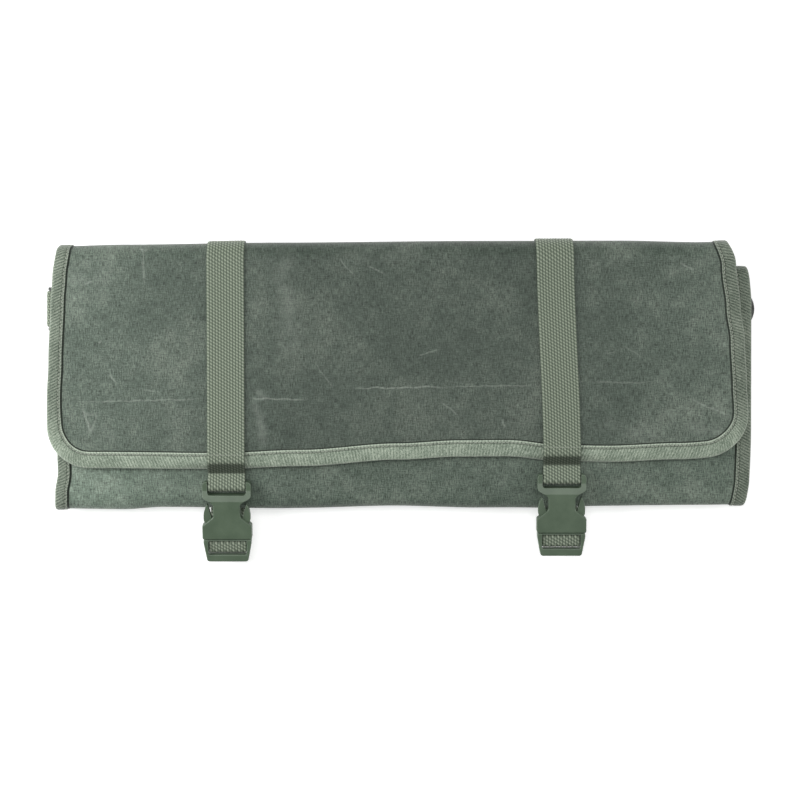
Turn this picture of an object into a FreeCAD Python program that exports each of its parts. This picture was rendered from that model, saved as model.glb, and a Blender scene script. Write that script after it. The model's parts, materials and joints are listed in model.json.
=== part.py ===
import FreeCAD, Part
import math
import os
from FreeCAD import Vector

# A waxed-canvas carving tool roll, rolled up flat and buckled shut, lying on its back.
# +X runs along the roll, +Y points from the buckles to the top fold, +Z points up from the table.
# The roll is drawn with y = 0 at the middle of its front face; save() moves it to the origin.

# ---- the rolled sheet (mm) ----
REST_PLY = 1.7                      # one ply of 25 mm strap webbing
BACK_Z = 3 * REST_PLY               # underside of the back panel: it stands on three plies
ROLL_HEIGHT = 26.0                  # canvas to canvas, back panel to flap
FRONT_Z = BACK_Z + ROLL_HEIGHT
CANVAS = 1.0
LINING = 0.6
SHEET = CANVAS + LINING
POCKET = 0.9
COVER = 0.8
TAPE = 0.6                          # thickness of the binding tape
TAPE_WIDTH = 11.0
TOP_APEX = 89.0                     # outermost line of the top fold
BOTTOM_APEX = -89.0
INNER_TOP_APEX = 73.5
INNER_BOTTOM_APEX = -85.5
FLAP_EDGE = {"left": -63.5, "right": -55.0}     # the flap's front edge runs slightly askew
CORE_EDGE = 48.0                    # the sheet's inner end
INNER_FRONT_Z = FRONT_Z - 3.2       # top of the layer under the flap
INNER_BACK_Z = BACK_Z + 3.1
CORE_STEP = 4.0                     # the innermost layer lies this far under the one before
SLOPE = 12.0                        # the front falls away to the bottom fold by this angle
SLOPE_RADIUS = 110.0
SLOPE_START = -34.0
FOLD_RADIUS = ROLL_HEIGHT / 2
FOLD_Z = BACK_Z + FOLD_RADIUS       # the flap hinges at this height, on the fold's outer line
WIDE = 260.0                        # half-length of a band before it is trimmed in plan

# ---- plan of the sheet ----
FLAP_LEFT = [(-226.3, TOP_APEX), (-235.4, 0.0), (-234.6, FLAP_EDGE["left"])]
FLAP_RIGHT = [(219.6, TOP_APEX), (232.0, 0.0), (233.6, FLAP_EDGE["right"])]
FLAP_CORNER = 26.0
SHEET_LEFT = -230.5
SHEET_RIGHT = 235.0
SHOULDER = 55.0                     # above this the inner sheet narrows to the top fold
POCKET_SPAN = (-215.5, 110.0)
COVER_SPAN = (80.0, 222.0)
POCKET_START = -30.0
POCKET_END = 30.0

# ---- straps and buckles ----
STRAP = 25.0
STRAP_X = {"left": -116.3, "right": 109.0}
BAR_Y = {"left": -73.9, "right": -69.0}
BAR_LIFT = 3.9                      # loop bar above the canvas it lies on
TILT = {"left": 14.0, "right": 9.0}
LOOP_GAP = 0.15                     # webbing to bar
BAR_RADIUS = 1.3                    # the socket's loop bar
FRAME_START = -3.0                  # distances past the loop bar, towards the tail
FRAME_HALF = 16.3
WEB_SLOT = 13.0                     # half the width of the slots the webbing goes through
SLOT_END = 6.0
SLOT_CORNER = 1.8
WAIST_HALF = 9.1
WAIST = (12.0, 20.9)
SHOULDERS = (7.6, 27.0)             # the waist widens to these distances
FEMALE_END = 36.6
FEMALE_Z = (-2.6, 5.4)              # heights above the bar's middle
FRAME_TOP = 3.2                     # the frame is thinner than the body, up to the ramp
FRAME_RAMP = (3.0, 10.0)
CAVITY_Z = (-0.8, 3.6)
CAVITY_HALF = 14.8
CAVITY_START = 9.6
MOUTH_HALF = 16.7
MOUTH_GAP = 0.45
MALE_Z = (-2.4, 4.4)
MALE_HALF = (16.2, 13.8)            # at the mouth and at the tail
MALE_END = 52.65
WINDOW = (37.8, 47.9)               # the tail half's window, and the bar across it
MID_BAR = (39.8, 45.2)
MID_BAR_Z = (-1.2, 1.5)
PRONG_GAP = 0.25                    # prong to the socket's floor and roof
RIM = 0.8                           # rounding of the moulded rims
ANCHOR = (-58.0, -20.0)             # the folded, sewn end of each tail strap
RAMP = 12.0                         # the strap climbs on to the flap's binding at this angle
EDGE_GAP = 0.5                      # and clears its front edge by this much
DIP = 55.0                          # before it dives to the loop bar
BAR_WRAP = 1.1                      # its bend round the bar is centred this far out
CORNER = 0.45                       # bend of webbing over a bar's edge
TAIL_CLIMB = {"left": 20.0, "right": 30.0}       # slope of the tail strap up to its bar
TAIL_RUN = 24.0
TAIL_DROP = {"left": 5.0, "right": 7.0}
TAIL_FREE = 15.0                    # its free end, hemmed, under the standing part

# ---- end rings ----
RING_Y = 46.0
RING_BAR = {"left": -239.1, "right": 224.5}
RING_WIRE = 2.0
RING_PLATE = 1.6
RING_PIN = 1.1
RING_EYE = 12.8
RING_LEG = 4.0
RING_DROOP = 4.6
TAB_PLY = 1.1
TAB_WIDTH = 24.0
TAB_LENGTH = 26.0
TAB_LOOP = 2.55                     # outer radius of the loop round the ring's bar
TAB_PINCH = 35.0                    # the plies close up again at this angle
TAB_CLOSE = 6.5                     # and meet this far inboard of the bar
PLY_GAP = 0.1

# the assembly's middle in plan, which becomes the origin
MIDDLE_Y = -17.62

PARTS = {}


def save(name, shape):
    """Keep a sub-part, in the assembly's own frame."""
    solids = shape.Solids
    shape = solids[0] if len(solids) == 1 else Part.makeCompound(solids)
    shape = shape.removeSplitter() if len(solids) == 1 else shape
    PARTS[name] = shape.translated(Vector(0, -MIDDLE_Y, 0))


def direction(angle):
    return Vector(0, math.cos(math.radians(angle)), math.sin(math.radians(angle)))


class Path:
    """A line of straight runs and arcs in the YZ plane; bands of any thickness follow it."""

    def __init__(self, y, z, heading):
        self.at = Vector(0, y, z)
        self.heading = heading
        self.runs = []

    def right(self):
        return direction(self.heading - 90)

    def line(self, length):
        start, side = self.at, self.right()
        self.at = start + direction(self.heading) * length
        self.runs.append(("line", start, self.at, side))
        return self

    def turn(self, radius, degrees):
        """Turn clockwise by degrees, or anticlockwise where it is negative."""
        sign = 1 if degrees > 0 else -1
        centre = self.at + self.right() * (radius * sign)
        spokes = [direction(self.heading + 90 * sign - degrees * f) for f in (0, 0.5, 1)]
        self.runs.append(("turn", centre, radius, sign, spokes))
        self.at = centre + spokes[2] * radius
        self.heading -= degrees
        return self

    def reach(self, target, first, radius, last):
        """Run at this heading, turn to heading last, and run on to the target."""
        degrees = first - last
        trial = Path(0, 0, first)
        trial.turn(radius, degrees)
        gap = target - self.at - trial.at
        a, b = direction(first), direction(last)
        det = a.y * b.z - a.z * b.y
        lead = (gap.y * b.z - gap.z * b.y) / det
        tail = (a.y * gap.z - a.z * gap.y) / det
        return self.line(lead).turn(radius, degrees).line(tail)

    def rail(self, offset):
        """The edges that lie this far to the right of the path."""
        edges = []
        for run in self.runs:
            if run[0] == "line":
                shift = run[3] * offset
                edges.append(Part.LineSegment(run[1] + shift, run[2] + shift).toShape())
            else:
                centre, radius, sign, spokes = run[1:]
                size = radius - offset * sign
                edges.append(Part.Arc(*[centre + s * size for s in spokes]).toShape())
        return edges

    def band(self, inner, outer, x0, x1):
        """A strip between two offsets, from x0 to x1."""
        one, two = self.rail(inner), self.rail(outer)
        caps = []
        for index, end in ((0, 0), (-1, -1)):
            ends = [side[index].Vertexes[end].Point for side in (one, two)]
            caps.append(Part.LineSegment(*ends).toShape())
        wire = Part.Wire(Part.__sortEdges__(one + two + caps))
        face = Part.Face(wire).translated(Vector(x0, 0, 0))
        return face.extrude(Vector(x1 - x0, 0, 0))


def plan_prism(points, corner=None):
    """A tall block on a closed outline of lines and arcs, its front corners rounded on request."""
    edges = []
    for start, *rest in points:
        if len(rest) == 2:
            edges.append(Part.Arc(*[Vector(x, y, -20) for x, y in (start, *rest)]).toShape())
        else:
            edges.append(Part.LineSegment(*[Vector(x, y, -20) for x, y in (start, *rest)]).toShape())
    prism = Part.Face(Part.Wire(edges)).extrude(Vector(0, 0, 100))
    if corner:
        front = [e for e in prism.Edges if e.BoundBox.ZLength > 50 and e.BoundBox.YMax < SLOPE_START]
        prism = prism.makeFillet(corner, front)
    return prism


def flap_prism(inset):
    """The flap's plan, shrunk by inset at its sides and front and open past the top fold."""
    left = [(x + inset, y) for x, y in FLAP_LEFT[:2]]
    left.append((FLAP_LEFT[2][0] + inset, FLAP_EDGE["left"] + inset))
    right = [(x - inset, y) for x, y in FLAP_RIGHT[:2]]
    right.append((FLAP_RIGHT[2][0] - inset, FLAP_EDGE["right"] + inset))
    top_left = (left[0][0], TOP_APEX + 20)
    top_right = (right[0][0], TOP_APEX + 20)
    return plan_prism([
        (top_left, left[0]),
        tuple(left),
        (left[2], right[2]),
        tuple(reversed(right)),
        (right[0], top_right),
        (top_right, top_left),
    ], FLAP_CORNER - inset)


def sheet_prism(inset):
    """The rest of the sheet's plan, shrunk by inset at its two ends."""
    left, right = SHEET_LEFT + inset, SHEET_RIGHT - inset
    top_left, top_right = FLAP_LEFT[0][0] + inset, FLAP_RIGHT[0][0] - inset
    corners = [(left, -120), (right, -120), (right, SHOULDER), (top_right, TOP_APEX),
               (top_right, TOP_APEX + 20), (top_left, TOP_APEX + 20), (top_left, TOP_APEX), (left, SHOULDER)]
    return plan_prism(list(zip(corners, corners[1:] + corners[:1])))


def slope_z(front_z, slope_radius, y):
    """Height of a layer of the front where it falls away straight, beyond its bend."""
    foot = SLOPE_START - slope_radius * math.sin(math.radians(SLOPE))
    drop = slope_radius * (1 - math.cos(math.radians(SLOPE)))
    return front_z - drop - (foot - y) * math.tan(math.radians(SLOPE))


def slope_to_fold(path, front_z, back_z, apex, slope_radius):
    """From a back layer round a bottom fold, up the gentle slope and on to the flat front."""
    tangent = math.tan(math.radians(SLOPE))
    cosine, sine = math.cos(math.radians(SLOPE)), math.sin(math.radians(SLOPE))
    foot = SLOPE_START - slope_radius * sine
    rise = slope_z(front_z, slope_radius, apex) - back_z
    radius = rise / (1 + cosine - (1 - sine) * tangent)
    path.line(path.at.y - (apex + radius))
    path.turn(radius, 180 - SLOPE)
    path.line((foot - path.at.y) / cosine)
    return path.turn(slope_radius, SLOPE)


def wrap_path(path, pocket=False):
    """Follow the sheet inwards from the layer under the flap to its inner end."""
    inner_radius = (INNER_FRONT_Z - INNER_BACK_Z) / 2
    path.line(INNER_TOP_APEX - inner_radius - path.at.y).turn(inner_radius, 180)
    slope_to_fold(path, INNER_FRONT_Z - CORE_STEP, INNER_BACK_Z, INNER_BOTTOM_APEX,
                  SLOPE_RADIUS - CORE_STEP)
    return path.line((POCKET_END if pocket else CORE_EDGE) - path.at.y)


# ---- the flap: everything above the hinge line ----
flap_path = Path(FLAP_EDGE["left"] - 5, FRONT_Z, 0)
flap_path.line(TOP_APEX - FOLD_RADIUS - flap_path.at.y).turn(FOLD_RADIUS, 90)


def bound_edge(path, prism):
    """Tape folded over the edge of a sheet: a channel that follows its outline."""
    block = path.band(-TAPE, SHEET + TAPE, -WIDE, WIDE).common(prism(-TAPE))
    block = block.cut(prism(TAPE_WIDTH - TAPE))
    return block.cut(path.band(0, SHEET, -WIDE, WIDE).common(prism(0)))


save("flap_canvas", flap_path.band(0, CANVAS, -WIDE, WIDE).common(flap_prism(0)))
save("flap_lining", flap_path.band(CANVAS, SHEET, -WIDE, WIDE).common(flap_prism(0)))
save("flap_binding", bound_edge(flap_path, flap_prism))

# ---- the rest of the sheet, rolled inwards from the hinge line ----
sheet_path = Path(TOP_APEX, FOLD_Z, -90).turn(FOLD_RADIUS, 90)
slope_to_fold(sheet_path, INNER_FRONT_Z, BACK_Z, BOTTOM_APEX, SLOPE_RADIUS)
wrap_path(sheet_path)
save("shell_canvas", sheet_path.band(0, CANVAS, -WIDE, WIDE).common(sheet_prism(0)))
save("shell_lining", sheet_path.band(CANVAS, SHEET, -WIDE, WIDE).common(sheet_prism(0)))

# tool sleeves run along X with their mouths at POCKET_SPAN[1]; the cover folds in from the right end
pocket_path = wrap_path(Path(POCKET_START, INNER_FRONT_Z, 0), pocket=True)
save("pocket_panel", pocket_path.band(SHEET, SHEET + POCKET, *POCKET_SPAN))
save("cover_flap", pocket_path.band(SHEET + POCKET, SHEET + POCKET + COVER, *COVER_SPAN))

# ---- rings and their tabs, under the back panel at both ends ----
def tab():
    """Webbing doubled round a bar at the origin, reaching inboard along -Y."""
    path = Path(-TAB_LENGTH, TAB_LOOP, 0)
    path.line(TAB_LENGTH).turn(TAB_LOOP, 180 + TAB_PINCH)
    inner = Vector(0, -TAB_CLOSE, TAB_LOOP - 2 * TAB_PLY - PLY_GAP)
    path.reach(inner, path.heading, 1.5, path.heading + TAB_PINCH)
    path.line(TAB_LENGTH + inner.y)
    return path.band(0, TAB_PLY, -TAB_WIDTH / 2, TAB_WIDTH / 2)


def ring():
    """A flat D of stamped metal with a round bar, reaching out from the bar along +X."""
    def half_disc(size, start):
        box = Part.makeBox(RING_LEG - start, 2 * size, RING_PLATE, Vector(start, -size, -RING_PLATE / 2))
        disc = Part.makeCylinder(size, RING_PLATE, Vector(RING_LEG, 0, -RING_PLATE / 2))
        right_half = Part.makeBox(size, 2 * size, RING_PLATE, Vector(RING_LEG, -size, -RING_PLATE / 2))
        return box.fuse(disc.common(right_half)).removeSplitter()
    plate = half_disc(RING_EYE + RING_WIRE, -RING_PIN - 0.3).cut(half_disc(RING_EYE, -RING_PIN - 0.3))
    plate = plate.makeFillet(0.5, [e for e in plate.Edges if e.BoundBox.ZLength < 0.01])
    pin = Part.makeCylinder(RING_PIN, 2 * RING_EYE + 1, Vector(0, -RING_EYE - 0.5, 0), Vector(0, 1, 0))
    return plate.fuse(pin)


tabs = {}
for side, turned in (("left", 90), ("right", -90)):
    place = Vector(RING_BAR[side], RING_Y, TAB_LOOP)
    tabs[side] = tab()
    tabs[side].rotate(Vector(0, 0, 0), Vector(0, 0, 1), turned)
    tabs[side].translate(place)
    save("d_ring_tab_" + side, tabs[side])
    metal = ring()
    metal.rotate(Vector(0, 0, 0), Vector(0, 1, 0), RING_DROOP)
    metal.translate(place)
    save("d_ring_" + side, metal)

# ---- binding along both ends of the rolled sheet, and along its inner end ----
ends = bound_edge(sheet_path, sheet_prism)
for side, x0 in (("left", -WIDE), ("right", 0)):
    half = Part.makeBox(WIDE, 300, 100, Vector(x0, -150, -20))
    save(side + "_end_binding", ends.common(half).cut(tabs[side]))
core_z = INNER_FRONT_Z - CORE_STEP
core_span = (SHEET_LEFT + TAPE_WIDTH, SHEET_RIGHT - TAPE_WIDTH)
core_tape = Path(CORE_EDGE - TAPE_WIDTH + TAPE, core_z, 0).line(TAPE_WIDTH)
core_sheet = Path(CORE_EDGE - TAPE_WIDTH, core_z, 0).line(TAPE_WIDTH)
save("core_edge_binding",
     core_tape.band(-TAPE, SHEET + TAPE, *core_span).cut(core_sheet.band(0, SHEET, -WIDE, WIDE)))


# ---- buckles: drawn flat with the loop bar at the origin and the tail end towards -Y ----
def plate_of(half_outline, heights, roundings):
    """A moulded plate, symmetric about X = 0, from (half width, distance) corners."""
    right = [Vector(x, -d, heights[0]) for x, d in half_outline]
    left = [Vector(-p.x, p.y, p.z) for p in reversed(right)]
    solid = Part.Face(Part.makePolygon(right + left + right[:1])).extrude(Vector(0, 0, heights[1] - heights[0]))
    for (x, d), rounding in zip(half_outline, roundings):
        at_corner = [e for e in solid.Edges
                     if abs(abs(e.CenterOfMass.x) - x) < 0.01 and abs(e.CenterOfMass.y + d) < 0.01]
        solid = solid.makeFillet(rounding, at_corner)
    return solid.makeFillet(RIM, [e for e in solid.Edges if e.BoundBox.ZLength < 0.01])


def slab(half_width, near, far, bottom, top):
    """A block across the buckle, between two distances from the loop bar."""
    return Part.makeBox(2 * half_width, far - near, top - bottom, Vector(-half_width, -far, bottom))


def rounded_slot(near, far, rounding):
    """A slot for webbing, with rounded corners at its far end."""
    hole = slab(WEB_SLOT, near, far, -10, 10)
    corners = [e for e in hole.Edges if e.BoundBox.ZLength > 1 and abs(e.CenterOfMass.y + far) < 0.01]
    return hole.makeFillet(rounding, corners)


def female():
    """Socket: a round loop bar between two rails, a narrow waist with open sides, a hollow mouth."""
    outline = [(FRAME_HALF, FRAME_START), (FRAME_HALF, SHOULDERS[0]), (WAIST_HALF, WAIST[0]),
               (WAIST_HALF, WAIST[1]), (MOUTH_HALF, SHOULDERS[1]), (MOUTH_HALF, FEMALE_END)]
    body = plate_of(outline, FEMALE_Z, (2.4, 2.4, 3.2, 3.2, 1.2, 1.2))
    over = [Vector(-20, -d, z) for d, z in ((FRAME_START - 1, FRAME_TOP), (FRAME_RAMP[0], FRAME_TOP),
                                            (FRAME_RAMP[1], FEMALE_Z[1]), (FRAME_RAMP[1], 9),
                                            (FRAME_START - 1, 9))]
    ramp = Part.Face(Part.makePolygon(over + over[:1])).extrude(Vector(40, 0, 0))
    body = body.cut(ramp).cut(rounded_slot(FRAME_START - 1, SLOT_END, SLOT_CORNER))
    body = body.cut(slab(CAVITY_HALF, CAVITY_START, FEMALE_END + 5, *CAVITY_Z))
    length = 2 * WEB_SLOT + 1
    return body.fuse(Part.makeCylinder(BAR_RADIUS, length, Vector(-length / 2, 0, 0), Vector(1, 0, 0)))


def male():
    """Tail half: a frame with a bar across its window, which the tail strap goes over."""
    start = FEMALE_END + MOUTH_GAP
    outline = [(MALE_HALF[0], start), (MALE_HALF[0], start + 2.5), (MALE_HALF[1], MALE_END)]
    body = plate_of(outline, MALE_Z, (0.9, 2.0, 2.0))
    body = body.cut(rounded_slot(*WINDOW, 1.0))
    return body.fuse(slab(WEB_SLOT + 0.5, *MID_BAR, *MID_BAR_Z)).removeSplitter()


def prong(side):
    """Sprung arm with a leaf-shaped head that stands in the socket's side window."""
    start = FEMALE_END + MOUTH_GAP
    arm = [(8.8, start), (8.8, 32.0), (9.9, 26.5), (10.3, 22.5), (12.9, 13.0), (13.5, 12.6)]
    swell = [(13.5, 12.6), (15.4, 17.6), (15.6, 24.2)]
    heel = [(15.6, 24.2), (15.0, 24.9), (12.9, 26.2), (12.4, 32.0), (12.4, start), (8.8, start)]
    at = lambda p: Vector(side * p[0], -p[1], CAVITY_Z[0] + PRONG_GAP)
    edges = [Part.LineSegment(at(a), at(b)).toShape() for a, b in zip(arm, arm[1:])]
    edges.append(Part.Arc(*[at(p) for p in swell]).toShape())
    edges += [Part.LineSegment(at(a), at(b)).toShape() for a, b in zip(heel, heel[1:])]
    face = Part.Face(Part.Wire(edges))
    return face.extrude(Vector(0, 0, CAVITY_Z[1] - CAVITY_Z[0] - 2 * PRONG_GAP))


def bar_place(side):
    """Where a buckle's loop bar lies: its height follows the sloping canvas under it."""
    y = BAR_Y[side]
    return Vector(STRAP_X[side], y, slope_z(INNER_FRONT_Z, SLOPE_RADIUS, y) + BAR_LIFT)


def buckle_point(side, distance, lift):
    """A point in a buckle's middle plane, by distance past the loop bar and height above it."""
    bar, tilt = bar_place(side), TILT[side]
    return Vector(0, bar.y, bar.z) + direction(180 + tilt) * distance + direction(90 + tilt) * lift


def on_buckle(shape, side):
    shape.rotate(Vector(0, 0, 0), Vector(1, 0, 0), TILT[side])
    shape.translate(bar_place(side))
    return shape


def webbing(path, inner, outer, side):
    """A strap's width of webbing on a path, at that side's buckle."""
    return path.band(inner, outer, STRAP_X[side] - STRAP / 2, STRAP_X[side] + STRAP / 2)


def flap_edge_y(x):
    """Where the flap's askew front edge crosses a strap's middle."""
    share = (x - FLAP_LEFT[2][0]) / (FLAP_RIGHT[2][0] - FLAP_LEFT[2][0])
    return FLAP_EDGE["left"] + share * (FLAP_EDGE["right"] - FLAP_EDGE["left"])


def front_strap(side):
    """Webbing over the top fold, down the flap, over its bound edge and round the loop bar."""
    edge = flap_edge_y(STRAP_X[side])
    path = Path(TOP_APEX, FOLD_Z, 90).turn(FOLD_RADIUS, -90)
    path.line(path.at.y - (edge + TAPE_WIDTH + 4))
    bend = 4.0
    level = TAPE + 0.05 - 2 * bend * (1 - math.cos(math.radians(RAMP)))
    path.turn(bend, RAMP).line(level / math.sin(math.radians(RAMP))).turn(bend, -RAMP)
    path.line(path.at.y - (edge - TAPE - EDGE_GAP)).turn(0.8, -DIP)
    round_bar = BAR_RADIUS + LOOP_GAP
    path.reach(buckle_point(side, BAR_WRAP, round_bar), 180 + DIP, 2.4, 180 + TILT[side])
    path.turn(round_bar, -180).line(5.0)
    return webbing(path, 0, REST_PLY, side)


def back_strap(side):
    """The same webbing below the hinge line, down the back to the sewn anchor."""
    path = Path(TOP_APEX, FOLD_Z, -90).turn(FOLD_RADIUS, 90)
    path.line(path.at.y - ANCHOR[0])
    return webbing(path, -REST_PLY, 0, side)


def tail_anchor(side):
    """The tail strap's end, folded into two plies and sewn over the back strap."""
    path = Path(ANCHOR[0], 2 * REST_PLY, 0)
    path.line(ANCHOR[1] - ANCHOR[0] - REST_PLY).turn(REST_PLY, 180)
    path.line(ANCHOR[1] - ANCHOR[0] - REST_PLY)
    return webbing(path, 0, REST_PLY - PLY_GAP / 10, side)


def tail_strap(side):
    """From the anchor, out under the bottom fold, over the tail half's bar and back to a free end."""
    upright = 90 + TILT[side]
    climb = 180 - TAIL_CLIMB[side]
    path = Path(ANCHOR[0], REST_PLY, 180).line(TAIL_RUN).turn(14, TAIL_CLIMB[side])
    over = MID_BAR_Z[1] + LOOP_GAP
    path.reach(buckle_point(side, MID_BAR[0] - LOOP_GAP, over - CORNER), climb, 2.6, upright)
    path.turn(CORNER, -90)
    path.line(MID_BAR[1] - MID_BAR[0] + 2 * LOOP_GAP - 2 * CORNER)
    path.turn(CORNER, -90).line(TAIL_DROP[side])
    path.turn(0.8, -(climb + 180 - path.heading)).line(TAIL_FREE)
    return webbing(path, 0, REST_PLY, side)


for side in ("left", "right"):
    save("front_strap_" + side, front_strap(side))
    save("back_strap_" + side, back_strap(side))
    save("tail_anchor_" + side, tail_anchor(side))
    save("tail_strap_" + side, tail_strap(side))
    save("buckle_female_" + side, on_buckle(female(), side))
    save("buckle_male_" + side, on_buckle(male(), side))
    for name, sign in (("a", -1), ("b", 1)):
        save("prong_%s_%s" % (side, name), on_buckle(prong(sign), side))

os.makedirs("parts", exist_ok=True)
for name, shape in PARTS.items():
    shape.exportStep("parts/" + name + ".step")
whole = Part.makeCompound(list(PARTS.values())).BoundBox
print("%d sub-parts, X %.2f..%.2f  Y %.2f..%.2f  Z %.2f..%.2f" % (
    len(PARTS), whole.XMin, whole.XMax, whole.YMin, whole.YMax, whole.ZMin, whole.ZMax))
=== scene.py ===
import bisect
import json
import math

import bpy
from mathutils import Matrix, Vector, noise


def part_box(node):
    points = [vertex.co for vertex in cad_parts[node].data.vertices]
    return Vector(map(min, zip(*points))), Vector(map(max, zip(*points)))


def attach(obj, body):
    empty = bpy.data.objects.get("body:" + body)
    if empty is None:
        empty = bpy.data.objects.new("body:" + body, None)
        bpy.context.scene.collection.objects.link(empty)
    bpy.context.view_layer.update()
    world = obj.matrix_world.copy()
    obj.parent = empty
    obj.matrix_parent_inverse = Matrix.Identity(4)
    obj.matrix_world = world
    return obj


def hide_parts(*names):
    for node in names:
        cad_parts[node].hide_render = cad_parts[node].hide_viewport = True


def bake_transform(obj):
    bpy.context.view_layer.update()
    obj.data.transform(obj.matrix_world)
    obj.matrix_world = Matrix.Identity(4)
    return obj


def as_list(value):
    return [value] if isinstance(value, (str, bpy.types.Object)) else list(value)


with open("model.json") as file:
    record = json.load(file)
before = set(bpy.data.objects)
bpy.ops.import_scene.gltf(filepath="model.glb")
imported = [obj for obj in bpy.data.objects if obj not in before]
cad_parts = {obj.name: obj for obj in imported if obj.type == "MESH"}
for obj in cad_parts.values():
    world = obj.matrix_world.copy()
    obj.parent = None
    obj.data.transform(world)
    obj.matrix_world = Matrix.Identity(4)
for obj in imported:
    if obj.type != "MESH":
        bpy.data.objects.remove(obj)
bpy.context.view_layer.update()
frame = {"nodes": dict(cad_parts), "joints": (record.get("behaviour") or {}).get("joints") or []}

# A waxed-canvas tool roll, rolled up flat. The rolled sheet is one path of straight runs and arcs in
# the YZ plane; cloth, tape, stitches and straps are laid out on it by (x, v), where v is the distance
# along the sheet and equals y on the flap. Small lengths are given in millimetres, times MM.
MM = 0.001


# ------ sizes, from the frame
def high(node, axis):
    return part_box(node)[1][axis]


def low(node, axis):
    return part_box(node)[0][axis]


# Thicknesses: the canvas, the same with its lining, the tape, the sleeves' panel, the cover that
# folds over the tool tips, the straps' webbing and the ring tabs' webbing
CANVAS = 1.0 * MM
SHEET = 1.6 * MM
TAPE = 0.6 * MM
POCKET = 0.9 * MM
COVER = 0.8 * MM
PLY = 1.7 * MM
TAB_PLY = 1.1 * MM
FRONT_Z = high("flap_canvas", 2)
BACK_Z = low("shell_canvas", 2)
TOP = high("shell_canvas", 1)
BOTTOM = low("shell_canvas", 1)
MIDDLE = (TOP + BOTTOM) / 2
INNER_FRONT_Z = high("shell_canvas", 2)
INNER_BACK_Z = low("pocket_panel", 2) - SHEET
INNER_TOP = high("pocket_panel", 1) + SHEET
INNER_BOTTOM = low("pocket_panel", 1) - SHEET
CORE_EDGE = high("core_edge_binding", 1) - TAPE
FOLD = (FRONT_Z - BACK_Z) / 2
CORE_STEP = 4.0 * MM  # the innermost turn lies this far below the one round it
SLOPE = math.radians(12)  # each front layer slopes down to its bottom fold at this angle
SLOPE_RADIUS = 110 * MM
SLOPE_START = MIDDLE - 34 * MM
FLAP_START = MIDDLE - 66 * MM
SIDES = ("left", "right")
STRAP_X = {side: (low("back_strap_" + side, 0) + high("back_strap_" + side, 0)) / 2 for side in SIDES}
STRAP_WIDTH = 25 * MM
TILT = {"left": 14.0, "right": 9.0}  # how far each buckle points down, in degrees


def joint(name):
    return next(j for j in frame["joints"] if j["name"] == name)


# Each socket's bar, in the YZ plane
BAR = {side: Vector((0, *joint("socket_swing_" + side)["pos_m"][1:])) for side in SIDES}


# ------ paths in the YZ plane
def heading(angle):
    return Vector((0.0, math.cos(angle), math.sin(angle)))


class Path:
    """Straight runs and arcs in the YZ plane, read back by arc length."""

    def __init__(self, y, z, degrees):
        self.spot = Vector((0.0, y, z))
        self.angle = math.radians(degrees)
        self.length = 0.0
        self.runs = []
        self.starts = []

    def add(self, length, curvature):
        self.runs.append((self.spot.copy(), self.angle, curvature, length))
        self.starts.append(self.length)
        self.spot, self.angle = self.step(self.runs[-1], length)
        self.length += length
        return self

    def line(self, length):
        return self.add(length, 0.0)

    def turn(self, radius, degrees):
        """Turn clockwise, or anticlockwise where degrees is negative."""
        angle = math.radians(degrees)
        return self.add(abs(angle) * radius, -math.copysign(1 / radius, angle))

    def reach(self, target, radius, last):
        """Run on, turn to the heading last (degrees), and run to the target."""
        degrees = math.degrees(self.angle) - last
        trial = Path(0, 0, math.degrees(self.angle)).turn(radius, degrees)
        gap = target - self.spot - trial.spot
        a, b = heading(self.angle), heading(math.radians(last))
        across = a.y * b.z - a.z * b.y
        self.line((gap.y * b.z - gap.z * b.y) / across).turn(radius, degrees)
        return self.line((a.y * gap.z - a.z * gap.y) / across)

    @staticmethod
    def step(run, d):
        spot, angle, curvature, length = run
        if curvature == 0.0:
            return spot + heading(angle) * d, angle
        turned = angle + curvature * min(max(d, 0.0), length)
        arc = Vector((0.0, math.sin(turned) - math.sin(angle), math.cos(angle) - math.cos(turned)))
        return spot + arc / curvature + heading(turned) * (d - min(max(d, 0.0), length)), turned

    def at(self, s, lift):
        """The point at arc length s, lifted to the right of the path."""
        index = max(0, bisect.bisect_right(self.starts, s) - 1)
        spot, angle = self.step(self.runs[index], s - self.starts[index])
        return spot + heading(angle - math.pi / 2) * lift


def slope_to_fold(path, front_z, back_z, apex, slope_radius):
    """From a back layer round a bottom fold, up the gentle slope and on to the flat front."""
    tangent, cosine, sine = math.tan(SLOPE), math.cos(SLOPE), math.sin(SLOPE)
    foot = SLOPE_START - slope_radius * sine
    rise = front_z - slope_radius * (1 - cosine) - (foot - apex) * tangent - back_z
    radius = rise / (1 + cosine - (1 - sine) * tangent)
    path.line(path.spot.y - (apex + radius)).turn(radius, 180 - math.degrees(SLOPE))
    path.line((foot - path.spot.y) / cosine).turn(slope_radius, math.degrees(SLOPE))


sheet = Path(FLAP_START, FRONT_Z, 0).line(TOP - FOLD - FLAP_START).turn(FOLD, 180)
V_BACK = FLAP_START + sheet.length
slope_to_fold(sheet, INNER_FRONT_Z, BACK_Z, BOTTOM, SLOPE_RADIUS)
V_INNER = FLAP_START + sheet.length
inner_fold = (INNER_FRONT_Z - INNER_BACK_Z) / 2
sheet.line(INNER_TOP - inner_fold - sheet.spot.y)
V_INNER_FOLD = FLAP_START + sheet.length
sheet.turn(inner_fold, 180)
V_INNER_BACK = FLAP_START + sheet.length
slope_to_fold(sheet, INNER_FRONT_Z - CORE_STEP, INNER_BACK_Z, INNER_BOTTOM, SLOPE_RADIUS - CORE_STEP)
sheet.line(CORE_EDGE - sheet.spot.y)
V_END = FLAP_START + sheet.length
V_APEX = TOP - FOLD + FOLD * math.pi / 2
V_BOTTOM = V_BACK + (TOP - FOLD - BOTTOM) + 2 * MM  # about the middle of the bottom fold
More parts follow.
